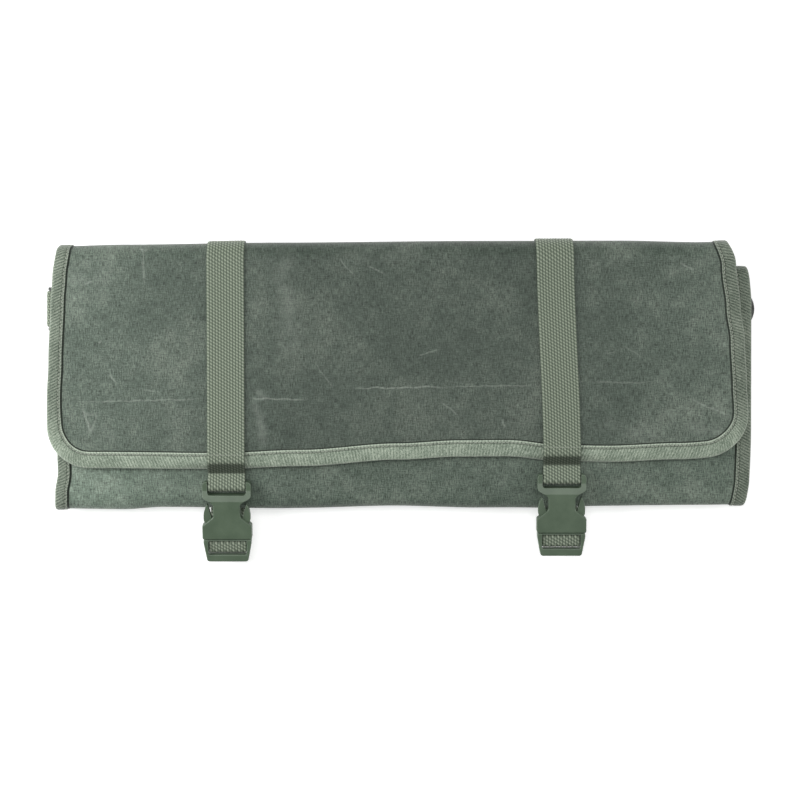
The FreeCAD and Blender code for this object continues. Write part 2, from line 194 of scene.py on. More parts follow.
V_INNER_BOTTOM = V_INNER_BACK + (INNER_TOP - INNER_BOTTOM) - 10 * MM
V_SEAM = V_BACK + 60 * MM  # on the back, where the part that opens meets the rest


def smooth(points, t):
    """A smooth curve through (t, value) points, level beyond both ends."""
    if t <= points[0][0]:
        return points[0][1]
    for (t0, a), (t1, b) in zip(points, points[1:]):
        if t <= t1:
            f = (t - t0) / (t1 - t0)
            return a + (b - a) * f * f * (3 - 2 * f)
    return points[-1][1]


def in_roll(points):
    """Given (y, value) points in mm about the roll's middle, as metres in the frame."""
    return [(MIDDLE + y * MM, value * MM) for y, value in points]


def along_x(points):
    """Given (x, value) points in mm, as metres."""
    return [(x * MM, value * MM) for x, value in points]


# ------ the sheet's outline
# The flap's ends: x by y; its front edge: y by x; and the ends of the rest of the sheet: x by v
FLAP_LEFT = in_roll([(-66, -236.2), (-12, -236.3), (10, -235.3), (50, -233.8), (66, -232.8), (85, -230.8),
                     (97, -229.6), (113, -232.5), (150, -233.5)])
FLAP_RIGHT = in_roll([(-66, 234.0), (-30, 233.8), (-10, 232.8), (22, 231.4), (46, 228.6), (74, 225.4),
                      (92, 221.4), (104, 222.0), (150, 235.0)])
FRONT_EDGE = along_x([(-236, -61.6), (-200, -62.2), (-120, -62.9), (-66, -60.8), (0, -56.4), (40, -54.4),
                      (72, -54.2), (108, -57.6), (140, -58.0), (188, -56.2), (236, -52.6)])
MEAN_FRONT = MIDDLE - 58 * MM
CORNER = 27 * MM  # radius of the flap's two front corners


def flap_spot(u, d, inset=0.0):
    """(x, v) on the flap: u runs across from 0 to 1, and d inwards from its front edge."""
    v = MEAN_FRONT + d
    cut = max(0.0, CORNER - inset - d)
    cut = CORNER - inset - math.sqrt(max(0.0, (CORNER - inset) ** 2 - cut ** 2))
    left, right = smooth(FLAP_LEFT, v) + inset + cut, smooth(FLAP_RIGHT, v) - inset - cut
    x = left + (right - left) * u
    lean = (1 - smooth([(0, 0), (120 * MM, 1)], d)) * (MIDDLE + smooth(FRONT_EDGE, x) - MEAN_FRONT)
    return x, v + inset + lean


LEFT_END = [(V_SEAM, -233.5 * MM), (V_BOTTOM - 0.02, -232.5 * MM), (V_BOTTOM, -233.6 * MM),
            (V_INNER - 0.046, -232.6 * MM), (V_INNER - 0.031, -230.4 * MM),
            (V_INNER_FOLD - 0.03, -230.6 * MM), (V_INNER_FOLD, -227 * MM),
            (V_INNER_BACK + 0.02, -230.5 * MM)]
RIGHT_END = [(V_SEAM, 235 * MM), (V_BOTTOM - 0.02, 235 * MM), (V_BOTTOM, 233.6 * MM),
             (V_BOTTOM + 0.025, 236.2 * MM), (V_INNER_FOLD - 0.015, 236.4 * MM),
             (V_INNER_FOLD + 0.013, 234.6 * MM), (V_INNER_FOLD + 0.031, 230 * MM),
             (V_INNER_BACK + 0.02, 235 * MM)]


# ------ how the cloth stands out
# How far the top and bottom folds bow outwards, by x
TOP_BOW = along_x([(-227, -1.2), (-187, -0.2), (-80, 1.2), (54, 2.3), (150, 2.5), (201, 1.5), (222, 1.9)])
BOTTOM_BOW = along_x([(-228, 1.2), (-187, 1.9), (-160, 0.2), (-80, 1.0), (0, -0.7), (54, 0.7), (91, 0.7),
                      (147, -0.7), (201, -1.2), (232, -1.5)])


def near(value, centre, reach):
    """1 at the centre, falling smoothly to 0 at this distance from it."""
    f = min(1.0, abs(value - centre) / reach)
    return 1 - f * f * (3 - 2 * f)


def beside_straps(x, reach):
    return max(near(x, strap_x(side, V_APEX), reach) for side in SIDES)


def ripple(x, v, length, seed):
    return noise.noise(Vector((x / length, v / length, seed)))


def bulge(x, v):
    """How far the cloth stands out of the CAD sheet: bowed folds, slack panels, straps pressing in."""
    out = near(v, V_APEX, 45 * MM) * smooth(TOP_BOW, x)
    out += (near(v, V_BOTTOM, 42 * MM) + near(v, V_INNER_BOTTOM, 40 * MM)) * smooth(BOTTOM_BOW, x)
    front = 1 - smooth([(TOP - FOLD - 10 * MM, 0), (V_APEX, 1)], v)
    if front > 0:
        slack = 0.55 + 1.3 * ripple(x, v, 85 * MM, 1.3) + 0.45 * ripple(x, v, 31 * MM, 5.1)
        slack += 0.16 * ripple(x, v, 12 * MM, 9.4)
        out += front * MM * (slack - 0.7 * beside_straps(x, 30 * MM))
    strip = near(v, V_INNER - 34 * MM, 40 * MM)
    if strip > 0:
        slack = 0.7 * ripple(x, v, 60 * MM, 3.7) + 0.45 * ripple(x, v, 24 * MM, 8.8)
        out += strip * MM * (slack - 0.3)
    back = near(v, (V_BACK + V_BOTTOM) / 2, 78 * MM)
    if back > 0:
        held = max(beside_straps(x, 40 * MM), near(abs(x), 215 * MM, 60 * MM))
        out += back * (1 - held) * MM * (1.2 + 0.9 * ripple(x, v, 70 * MM, 6.6))
    return out


STRAP_DIVE = math.radians(40)  # the straps press the flap's front edge down at this slope
DIVE_START = 5.2 * MM


def droop(x, v):
    """How far the flap's front edge hangs, furthest where a strap presses it down."""
    hang = max(0.0, min(1.0, (MIDDLE - 28 * MM - v) / (34 * MM))) ** 2
    hang *= (1.5 + 1.5 * ripple(x, 0, 55 * MM, 2.2)) * MM
    for side in SIDES:
        edge = MIDDLE + smooth(FRONT_EDGE, STRAP_X[side])
        pressed = max(0.0, edge + DIVE_START - v) * math.tan(STRAP_DIVE) + 0.12 * MM
        share = min(1.0, 1.6 * near(x, strap_x(side, v), 46 * MM))
        hang += (max(hang, pressed) - hang) * share * (1 if v < edge + DIVE_START else 0)
    return hang


def on_sheet(x, v, lift=0.0):
    """A point of the rolled sheet, lifted outwards from its outer face."""
    sag = droop(x, v) if v < MIDDLE else 0.0
    spot = sheet.at(v - FLAP_START, -(lift + bulge(x, v) - sag))
    return Vector((x, spot.y, spot.z))


def strap_x(side, v):
    """The right strap leans: it crosses the top fold nearer the middle than its buckle."""
    lean = {"left": -0.5 * MM, "right": -5.0 * MM}[side]
    return STRAP_X[side] + lean * near(v, V_APEX, 160 * MM)


# ------ meshes
def add_piece(name, verts, faces, cloth, material, slot):
    """A smooth-shaded piece whose points carry their flat cloth coordinates, in mm."""
    mesh = bpy.data.meshes.new(name)
    mesh.from_pydata([tuple(v) for v in verts], [], faces)
    layer = mesh.attributes.new("cloth", "FLOAT_VECTOR", "POINT")
    layer.data.foreach_set("vector", [c for point in cloth for c in point])
    mesh.polygons.foreach_set("use_smooth", [True] * len(mesh.polygons))
    mesh.materials.append(material)
    mesh.validate()
    piece = bpy.data.objects.new(name, mesh)
    bpy.context.scene.collection.objects.link(piece)
    return piece


def slab_faces(rows, columns):
    """Faces of a closed slab: two grids of rows x columns points, joined round their rim."""
    faces, under = [], rows * columns
    for i in range(rows - 1):
        for j in range(columns - 1):
            a, b = i * columns + j, (i + 1) * columns + j
            faces.append((a, a + 1, b + 1, b))
            faces.append((under + a, under + b, under + b + 1, under + a + 1))
    rim = list(range(columns))
    rim += [i * columns + columns - 1 for i in range(1, rows)]
    rim += [(rows - 1) * columns + j for j in range(columns - 2, -1, -1)]
    rim += [i * columns for i in range(rows - 2, 0, -1)]
    for a, b in zip(rim, rim[1:] + rim[:1]):
        faces.append((b, a, under + a, under + b))
    return faces


def cloth_slab(name, spots, outer, inner, material, slot):
    """Cloth between two depths below the sheet's outer face, over a grid of (x, v) spots."""
    verts = [on_sheet(x, v, -depth) for depth in (outer, inner) for row in spots for x, v in row]
    cloth = [(x / MM, (v - MIDDLE) / MM, 0.0) for row in spots for x, v in row] * 2
    return add_piece(name, verts, slab_faces(len(spots), len(spots[0])), cloth, material, slot)


def steps(start, end, size):
    count = max(1, round(abs(end - start) / size))
    return [start + (end - start) * i / count for i in range(count + 1)]


def flap_rows(inset, size):
    """Distances from the flap's front edge: close together round its corners, then even."""
    radius = CORNER - inset
    corner = [radius * (1 - math.cos(math.radians(a))) for a in range(0, 90, 5)]
    return corner + steps(radius, V_SEAM - MEAN_FRONT - inset, size)


# About the widths of the flap and of the rest of the sheet, for how many spots lie across them
FLAP_ACROSS = 0.47
END_ACROSS = 0.466


def flap_grid(inset, size):
    count = round(FLAP_ACROSS / size)
    return [[flap_spot(i / count, d, inset) for i in range(count + 1)] for d in flap_rows(inset, size)]


def end_grid(inset, size, v0=V_SEAM, v1=V_END, span=None):
    """Spots over the part of the sheet beyond the seam, or over a span of it."""
    grid, across = [], steps(0.0, 1.0, size / (END_ACROSS if span is None else span[1] - span[0]))
    for v in steps(v0, v1, size):
        left, right = span or (smooth(LEFT_END, v) + inset, smooth(RIGHT_END, v) - inset)
        grid.append([(left + (right - left) * t, v) for t in across])
    return grid


# Half-folded tape: (distance in from the edge, height above the sheet's outer face), in mm. It starts
# with a thin skirt beyond the tape's selvedge, painted near-black as the shadow there, and dips at the
# stitches.
TAPE_SECTION = [(11.85, 0.02), (11.8, 0.1), (11.05, 0.14), (10.95, 0.55), (10.45, 0.74), (9.85, 0.5),
                (9.3, 0.38), (8.75, 0.5), (8.1, 0.68), (7.05, 0.76), (6.0, 0.8), (4.8, 0.82), (3.6, 0.82),
                (2.6, 0.81), (1.7, 0.76), (0.6, 0.42), (0.05, -0.25), (0.0, -0.8), (0.05, -1.35),
                (0.6, -2.0), (1.7, -2.25), (5.0, -2.3), (9.9, -2.25), (10.3, -1.95), (9.9, -1.66),
                (5.0, -1.66), (1.1, -1.62), (0.75, -1.3), (0.75, -0.3), (1.1, 0.02), (5.0, 0.02), (9.5, 0.02)]
TAPE_EDGE = 11.1  # mm in from the fold, where the skirt begins
RIBBED = range(3, 23)  # the section's points that carry the ribs
CRUSHED = range(8, 22)  # and those that are pressed unevenly
RIB = 2.05 * MM
RIB_LEAN = 0.45  # mm along the tape per mm across it, at the flap's ends
STITCH_IN = 9.3 * MM


def inwards(spots):
    """Unit (x, v) normals of a route, to its left."""
    normals = []
    for i in range(len(spots)):
        (xa, va), (xb, vb) = spots[max(0, i - 1)], spots[min(len(spots) - 1, i + 1)]
        length = math.hypot(xb - xa, vb - va)
        normals.append((-(vb - va) / length, (xb - xa) / length))
    return normals


def even(spots, size):
    """The same route with its spots this far apart, and each one's distance along it."""
    marks = [0.0]
    for a, b in zip(spots, spots[1:]):
        marks.append(marks[-1] + math.dist(a, b))
    out, k = [], 0
    for s in steps(0.0, marks[-1], size):
        while k < len(marks) - 2 and marks[k + 1] < s:
            k += 1
        f = (s - marks[k]) / max(1e-9, marks[k + 1] - marks[k])
        out.append(tuple(spots[k][i] + (spots[k + 1][i] - spots[k][i]) * f for i in (0, 1)))
    return out, steps(0.0, marks[-1], size)


def tape_share(x, v):
    """The share of its full width that shows: the tape is folded further over along the ends."""
    flap, end = (0.82, 0.74) if x < 0 else (0.87, 0.87)
    if v > V_SEAM:
        return end
    front = [(MEAN_FRONT + 6 * MM, 1.0), (MEAN_FRONT + 40 * MM, flap)]
    return smooth(front + [(V_BACK, flap), (V_SEAM, end)], v)


def tape_painted_light(x, v):
    """How bright the tape is painted: lighter along the flap's front edge and darker towards the right end,
    as painted light and shade.
    """
    side = smooth([(-150 * MM, 0.92), (150 * MM, 0.8)], x)
    return side if v > V_SEAM else smooth([(MEAN_FRONT + 5 * MM, 1.4), (MEAN_FRONT + 42 * MM, side)], v)


def tape(name, route, size, share):
    """Ribbed tape folded over the sheet's edge; the sheet lies to the left of the route."""
    spots, marks = even(route, size)
    normals = inwards(spots)
    verts, cloth, loop = [], [], len(TAPE_SECTION)
    for (x, v), (nx, nv), along in zip(spots, normals, marks):
        crush = 0.12 * noise.noise(Vector((along / (9 * MM), 2.0, 0.0)))
        lean = -RIB_LEAN * max(-1.0, min(1.0, x / (150 * MM)))
        # pale is the tape's painted light and shade, carried in its cloth Z
        wide, pale = share(x, v), tape_painted_light(x, v)
        for k, (into, rise) in enumerate(TAPE_SECTION):
            slanted = along / MM + lean * into
            rib = 0.5 + 0.5 * math.cos(2 * math.pi * slanted * MM / RIB)
            ribbed = 0.14 * rib if k in RIBBED else 0.0
            out = 1 if rise > -0.8 else -1
            rise = rise + out * (ribbed + (crush if k in CRUSHED else 0.0))
            reach = min(into, TAPE_EDGE) * wide + max(0.0, into - TAPE_EDGE) * (4 - 3 * wide)
            verts.append(on_sheet(x + nx * reach * MM, v + nv * reach * MM, rise * MM))
            cloth.append((slanted, into, pale))
    faces = []
    for i in range(len(spots) - 1):
        for k in range(loop):
            a, b = i * loop + k, i * loop + (k + 1) % loop
            faces.append((a, a + loop, b + loop, b))
    faces.append(tuple(range(loop)))
    faces.append(tuple(range(len(verts) - 1, len(verts) - 1 - loop, -1)))
    return add_piece(name, verts, faces, cloth, tape_look, "binding_tape")


def threads(name, runs, place, slot, radius):
    """Short rounded stitches between pairs of spots, laid on a surface by place(spot, lift)."""
    verts, faces, cloth, rim = [], [], [], 6
    profile = ((0.0, 0.25), (0.18, 0.9), (0.5, 1.0), (0.82, 0.9), (1.0, 0.25))
    for a, b in runs:
        base = len(verts)
        across = Vector((b[1] - a[1], a[0] - b[0], 0)).normalized()
        for f, size in profile:
            spot = (a[0] + (b[0] - a[0]) * f, a[1] + (b[1] - a[1]) * f)
            centre = place(spot, (math.sin(math.pi * f) - 0.35) * radius)
            above = place(spot, radius) - place(spot, 0)
            side = place((spot[0] + across.x * radius, spot[1] + across.y * radius), 0) - place(spot, 0)
            for k in range(rim):
                angle = 2 * math.pi * k / rim
                verts.append(centre + (side * math.cos(angle) + above * math.sin(angle)) * size)
                cloth.append((spot[0] / MM, spot[1] / MM, 3.0))
        for ring in range(len(profile) - 1):
            for k in range(rim):
                p, q = base + ring * rim + k, base + ring * rim + (k + 1) % rim
                faces.append((p, q, q + rim, p + rim))
        faces.append(tuple(base + k for k in reversed(range(rim))))
        faces.append(tuple(base + (len(profile) - 1) * rim + k for k in range(rim)))
    return add_piece(name, verts, faces, cloth, thread_look, slot)


def stitch_runs(route, share, pitch=2.7 * MM):
    """Stitch after stitch along a tape's route, in from it by the tape's seam allowance.

    The line is cut into six parts a pitch: a stitch takes five of them, and the gap one.
    """
    spots = even(route, 0.5 * MM)[0]
    line = [(x + nx * STITCH_IN * share(x, v), v + nv * STITCH_IN * share(x, v))
            for (x, v), (nx, nv) in zip(spots, inwards(spots))]
    line = even(line, pitch / 6)[0]
    return [(line[i], line[min(len(line) - 1, i + 5)]) for i in range(0, len(line) - 6, 6)]


def tape_with_stitches(name, route, size, share):
    """The tape and the row of stitches sunk into its outer face."""
    band = tape(name, route, size, share)
    seam = threads(name + "_stitches", stitch_runs(route, share),
                   lambda spot, lift: on_sheet(*spot, 0.5 * MM + lift), "binding_tape", 0.33 * MM)
    return band, seam


# ------ webbing
COLUMNS = 13  # columns of knots across the strap
KNOT = 2.2 * MM  # distance from knot to knot along it
FINE = 4  # mesh steps across and along each knot


def webbing(name, path, width, thickness, place, coarse=1, dark=(0.0, 0.0)):
    """Woven strap along a path: columns of staggered knots on both faces, scalloped selvedges.

    Between the two marks in dark the weave is painted near-black, as painted shade where a strap dives behind
    a buckle.
    """
    per = FINE // coarse
    across = COLUMNS * per
    marks = steps(0.0, path.length, KNOT / per)
    verts, cloth = [], []
    for face in (1, 0):
        for s in marks:
            for j in range(across + 1):
                column = j / per
                phase = 2 * math.pi * (s / KNOT + 0.5 * (int(column) % 2))
                beat = 0.5 + 0.5 * math.cos(phase)
                thread = math.sin(math.pi * (column % 1.0)) if 0 < j < across else 0.0
                edge = near(j, 0, per * 0.9) + near(j, across, per * 0.9)
                depth = 0.32 * MM * (1 - thread * (0.45 + 0.55 * beat)) + 0.25 * MM * edge
                depth += 0.05 * MM * noise.noise(Vector((s / MM, j * 1.7, face * 9.0)))
                scallop = 0.16 * MM * math.cos(2 * math.pi * s / KNOT) * (edge if edge > 0.5 else 0)
                sway = 0.16 * math.sin(phase) if 0 < j < across else 0.0
                x = ((column + sway) / COLUMNS - 0.5) * width
                x += math.copysign(scallop, x)
                lift = thickness - depth if face else depth
                verts.append(place(s, x, lift, path))
                # Painted shade: 1 on the run where the strap dives, for darkening the weave there
                dive_shade = smooth([(dark[0], 0), (dark[0] + 2 * MM, 1)], s)
                dive_shade *= smooth([(dark[1] - 2 * MM, 1), (dark[1], 0)], s)
                cloth.append((column, s / MM, dive_shade))
    return add_piece(name, verts, slab_faces(len(marks), across + 1), cloth, strap_look, "webbing")


def strap_path(side):
    """Up the back, over the top fold, down the flap, over its bound edge and round the buckle's bar."""
    edge = MIDDLE + smooth(FRONT_EDGE, STRAP_X[side])
    path = Path(low("back_strap_" + side, 1), BACK_Z, 0)
    path.line(TOP - FOLD - path.spot.y).turn(FOLD, -180)
    path.line(path.spot.y - (edge + 15 * MM))
    path.turn(6 * MM, 8).line(5.2 * MM).turn(6 * MM, -8)  # up on to the tape
    bend = 2.5 * MM
    lead = bend * math.tan(STRAP_DIVE / 2)
    path.line(path.spot.y - (edge + DIVE_START + lead)).turn(bend, -math.degrees(STRAP_DIVE))
    rise = math.radians(-11)
    over = BAR[side] + heading(math.pi + rise) * (1.1 * MM) + heading(math.pi / 2 + rise) * (1.45 * MM)
    path.reach(over, 3 * MM, 169)
    return path.turn(1.45 * MM, -180 - 11 - TILT[side]).line(5.0 * MM)


def on_strap(side, v_start, v_edge):
    """Placing for a strap: it rides on the cloth's bulges until it leaves the flap's edge."""
    def place(s, x, lift, path):
        v = v_start - s
        x += strap_x(side, v)
        hold = smooth([(v_edge - 6 * MM, 0.0), (v_edge + 1 * MM, 1.0)], v)
        spot = path.at(s, lift + (hold * bulge(x, max(v, v_edge)) if hold > 0 else 0.0))
        return Vector((x, spot.y, spot.z))
    return place


# ------ materials
class Shader:
    """A node material, built up one named step at a time."""

    def __init__(self, name, roughness, sheen=0.0, metallic=0.0, specular=0.5):
        self.material = bpy.data.materials.new(name)
        self.material.use_nodes = True
        self.tree = self.material.node_tree
        self.surface = self.tree.nodes["Principled BSDF"]
        values = {"Roughness": roughness, "Sheen Weight": sheen, "Sheen Roughness": 0.4,
                  "Metallic": metallic, "Specular IOR Level": specular}
        for socket, value in values.items():
            self.surface.inputs[socket].default_value = value

    def node(self, kind, output, values, **settings):
        made = self.tree.nodes.new("ShaderNode" + kind)
        for key, value in settings.items():
            setattr(made, key, value)
        for key, value in values.items():
            if isinstance(value, bpy.types.NodeSocket):
                self.tree.links.new(value, made.inputs[key])
            else:
                made.inputs[key].default_value = value
        return made.outputs[output]

    def feed(self, socket, value):
        self.tree.links.new(value, self.surface.inputs[socket])

    def cloth(self):
        return self.node("Attribute", "Vector", {}, attribute_name="cloth")

    def place(self):
        return self.node("TexCoord", "Object", {})

    def split(self, vector):
        """The vector's X, Y and Z, by name."""
        made = self.tree.nodes.new("ShaderNodeSeparateXYZ")
        self.tree.links.new(vector, made.inputs[0])
        return made.outputs

    def stretch(self, vector, scale):
        return self.node("Mapping", "Vector", {"Vector": vector, "Scale": scale})

    def noise(self, vector, scale, detail=2.0, rough=0.5):
        return self.node("TexNoise", "Fac", {"Vector": vector, "Scale": scale, "Detail": detail,
                                             "Roughness": rough})

    def math(self, kind, a, b=0.0, c=0.0, clamp=False):
        return self.node("Math", "Value", {0: a, 1: b, 2: c}, operation=kind, use_clamp=clamp)

    def times(self, a, b):
        return self.math("MULTIPLY", a, b)

    def total(self, *terms):
        """The sum of (value, weight) terms."""
        out = self.times(*terms[0])
        for term in terms[1:]:
            out = self.math("ADD", out, self.times(*term))
        return out

    def spread(self, value, low_in, high_in, low_out=0.0, high_out=1.0):
        return self.node("MapRange", "Result", {"Value": value, "From Min": low_in, "From Max": high_in,
                                                "To Min": low_out, "To Max": high_out})

    def band(self, value, rise, fall):
        """1 between two edges, each a (0, 1) pair of positions."""
        return self.times(self.spread(value, *rise), self.spread(value, *fall))

    def ramp(self, value, stops):
        made = self.tree.nodes.new("ShaderNodeValToRGB")
        self.tree.links.new(value, made.inputs["Fac"])
        elements = made.color_ramp.elements
        while len(elements) < len(stops):
            elements.new(0.5)
        for element, (position, colour) in zip(elements, stops):
            element.position = position
            element.color = (*colour, 1.0)
        return made.outputs["Color"]

    def blend(self, factor, a, b, kind="MIX"):
        made = self.tree.nodes.new("ShaderNodeMix")
        made.data_type = "RGBA"
        made.blend_type = kind
        for index, value in ((0, factor), (6, a), (7, b)):
            if isinstance(value, bpy.types.NodeSocket):
                self.tree.links.new(value, made.inputs[index])
            else:
                made.inputs[index].default_value = (*value, 1.0) if index else value
        return made.outputs[2]

    def bump(self, height, strength, distance, before=None):
        values = {"Height": height, "Strength": strength, "Distance": distance * MM}
        if before is not None:
            values["Normal"] = before
        return self.node("Bump", "Normal", values)


# Marks in the flap's wax: (start, end, width) in mm about the roll's middle, and how pale each one is.
# A mark spreads to this many times its width, and fades to this share of its paleness.
MARK_SPREAD = 1.5
MARK_FADE = 0.62
MARKS = [
    ((-33, -8.4), (34, -7.6), 0.5, 0.55), ((30, -7.8), (92, -6.6), 0.45, 0.4),
    ((-103, -15), (-60, -15.9), 0.5, 0.5), ((-214, -17.4), (-129, -15.6), 0.5, 0.4),
    ((-213, -20.5), (-206.5, -39), 0.7, 0.5), ((-207, -38.5), (-202.3, -23), 0.6, 0.35),
    ((-212, -25), (-204, -27), 0.9, 0.35), ((-211, 61), (-206, 63), 0.7, 0.45),
    ((-175, 86), (-169, 84), 1.0, 0.6), ((-172.5, 88), (-170.5, 60), 0.7, 0.35),
    ((-202, 21), (-199.5, 23), 0.8, 0.4), ((-195, 1.5), (-189, -6), 0.6, 0.45),
    ((-57, 8.6), (-44.4, -8.6), 0.5, 0.3), ((-21.8, 73.6), (-8.6, 67), 0.5, 0.4),
    ((-41, 78.5), (-30, 67.5), 0.5, 0.35), ((11.4, 13.4), (27.5, 17.2), 0.5, 0.35),
    ((27, -16.8), (39.5, -26.8), 0.5, 0.35), ((69, -28.6), (70.8, -35), 0.8, 0.45),
    ((194, -15.4), (221.5, -27), 0.6, 0.4), ((187.5, 75.4), (198.5, 69.8), 0.7, 0.4),
    ((127, -4.2), (168, -4.8), 0.6, 0.3), ((-172, -9.5), (-160, -11), 0.5, 0.3),
    ((100, -29), (108, -21), 0.5, 0.2), ((150, 20), (163, 12), 0.5, 0.22),
]
# Broad soft scuffs, written the same way
SCUFFS = [((-97, -14), (-90, -50), 5.0, 0.35), ((-80, 86), (-72, 10), 12.0, 0.22),
          ((-97, -9), (-88, -17), 3.0, 0.25), ((-232, 60), (-190, 70), 16.0, 0.14),
          ((190, -34), (226, -40), 7.0, 0.2), ((130, -30), (180, -44), 8.0, 0.12),
          ((-40, 80), (30, 84), 7.0, 0.14), ((-210, -34), (-190, -44), 8.0, 0.16)]


def line_mask(shader, vector, start, end, width):
    """1 along one line on the cloth, fading across its width and towards its ends."""
    length, angle = math.dist(start, end), math.atan2(end[1] - start[1], end[0] - start[0])
    local = shader.node("Mapping", "Vector",
                        {"Vector": vector, "Location": (*start, 0), "Rotation": (0, 0, angle),
                         "Scale": (length, width, 1)}, vector_type="TEXTURE")
    parts = shader.split(local)
    away = shader.math("ABSOLUTE", parts["Y"])
    middle = shader.math("ABSOLUTE", shader.math("SUBTRACT", parts["X"], 0.5))
    ends = shader.spread(middle, 0.5, 0.3)
    return shader.times(shader.spread(away, 1.0, 0.0), ends)


def canvas_light_and_grain(shader, cloth):
    """How bright the canvas is: painted light and shade, paler at the sides and on the top fold, and grained
    by its threads.
    """
    warp = shader.noise(shader.stretch(cloth, (1.7, 0.22, 1)), 1.0, 2, 0.7)
    weft = shader.noise(shader.stretch(cloth, (0.2, 1.7, 1)), 1.0, 2, 0.7)
    grain = shader.noise(cloth, 1.1, 3, 0.8)
    threads_seen = shader.total((warp, 0.42), (weft, 0.28), (grain, 0.3))
    parts = shader.split(cloth)
    # Painted light: lighter towards the left and right ends, and more so from Y 150-180 mm on
    shade = shader.math("ADD", shader.spread(parts["X"], -70, -225, 0.8, 1.24),
                        shader.spread(parts["X"], 90, 220, 0.0, 0.33))
    painted_extra_light = shader.math("SUBTRACT", shader.spread(parts["X"], -70, -225, 0.36, 0.76),
                        shader.spread(parts["X"], 90, 220, 0.0, 0.12))
    shade = shader.math("MULTIPLY_ADD", painted_extra_light, shader.spread(parts["Y"], 150, 180), shade)
    return shader.times(shade, shader.spread(threads_seen, 0.4, 0.6, 0.36, 1.64))


def wax_marks(shader, cloth, patchy):
    """Where the wax is pale: cracked along the marks, rubbed at the scuffs, and in stray hairlines."""
    wander = shader.node("TexNoise", "Color", {"Vector": cloth, "Scale": 0.12, "Detail": 3.0})
    drift = shader.node("VectorMath", "Vector", {0: wander, 1: (3.2, 3.2, 0.0), 2: (-1.6, -1.6, 0.0)},
                        operation="MULTIPLY_ADD")
    wavy = shader.node("VectorMath", "Vector", {0: cloth, 1: drift}, operation="ADD")
    broken = shader.spread(shader.noise(cloth, 0.5, 3, 0.7), 0.34, 0.56, 0.2, 1.6)
    pale = None
    for start, end, width, strength in MARKS:
        line = line_mask(shader, wavy, start, end, MARK_SPREAD * width)
        mask = shader.times(line, MARK_FADE * strength)
        pale = mask if pale is None else shader.math("MAXIMUM", pale, mask)
    pale = shader.math("MULTIPLY", pale, broken, clamp=True)
    for start, end, width, strength in SCUFFS:
        mask = shader.times(line_mask(shader, wavy, start, end, width), strength)
        pale = shader.math("ADD", pale, shader.times(mask, shader.spread(patchy, 0.3, 0.7)))
    hair = shader.node("TexVoronoi", "Distance", {"Vector": wavy, "Scale": 0.035},
                       feature="DISTANCE_TO_EDGE")
    hair = shader.times(shader.spread(hair, 0.012, 0.0), shader.spread(patchy, 0.55, 0.75, 0, 0.25))
    return shader.math("ADD", pale, hair, clamp=True)


def waxed_canvas():
    """Dark grey-green waxed cotton: mottled, thread-textured, with pale cracked creases."""
    shader = Shader("waxed_canvas", roughness=0.6, sheen=0.12, specular=0.35)
    cloth = shader.cloth()
    broad = shader.noise(cloth, 0.016, 3, 0.55)
    patchy = shader.noise(cloth, 0.09, 4, 0.6)
    tone = shader.total((broad, 0.62), (patchy, 0.38))
    colour = shader.ramp(tone, [(0.34, (0.07, 0.096, 0.074)), (0.5, (0.105, 0.136, 0.108)),
                                (0.66, (0.165, 0.2, 0.162))])
    # Painted light and shade, multiplied into the canvas colour
    shade = canvas_light_and_grain(shader, cloth)
    colour = shader.blend(1.0, colour, shade_colour(shader, shade), "MULTIPLY")
    colour = shader.blend(wax_marks(shader, cloth, patchy), colour, (0.42, 0.47, 0.41))
    shader.feed("Base Color", colour)
    shader.feed("Roughness", shader.spread(tone, 0.3, 0.7, 0.52, 0.68))
    normal = shader.bump(weave_height(shader, cloth, 0.62), 0.35, 0.12)
    shader.feed("Normal", shader.bump(shader.noise(cloth, 0.25, 4, 0.6), 0.4, 0.5, normal))
    return shader.material


def shade_colour(shader, value):
    """A grey of this brightness, for multiplying a colour by."""
    return shader.node("CombineColor", "Color", {"Red": value, "Green": value, "Blue": value})


def weave_height(shader, cloth, pitch):
    """Plain weave: rounded threads this far apart, crossing over and under."""
    parts = shader.split(cloth)
    turn = 2 * math.pi / pitch
    waves = [shader.math("SINE", shader.times(parts[axis], turn)) for axis in ("X", "Y")]
    return shader.math("MULTIPLY_ADD", shader.times(waves[0], waves[1]), 0.5, 0.5)


def plain_cloth(name, dark, light, pitch):
    """Unwaxed cotton for the lining, the sleeves and the cover."""
    shader = Shader(name, roughness=0.85, sheen=0.25, specular=0.25)
    cloth = shader.cloth()
    weave = weave_height(shader, cloth, pitch)
    tone = shader.total((shader.noise(cloth, 0.06, 4, 0.6), 0.7), (weave, 0.25))
    shader.feed("Base Color", shader.ramp(tone, [(0.3, dark), (0.75, light)]))
    shader.feed("Normal", shader.bump(shader.noise(cloth, 0.4, 3), 0.3, 0.4, shader.bump(weave, 0.5, 0.15)))
    return shader.material


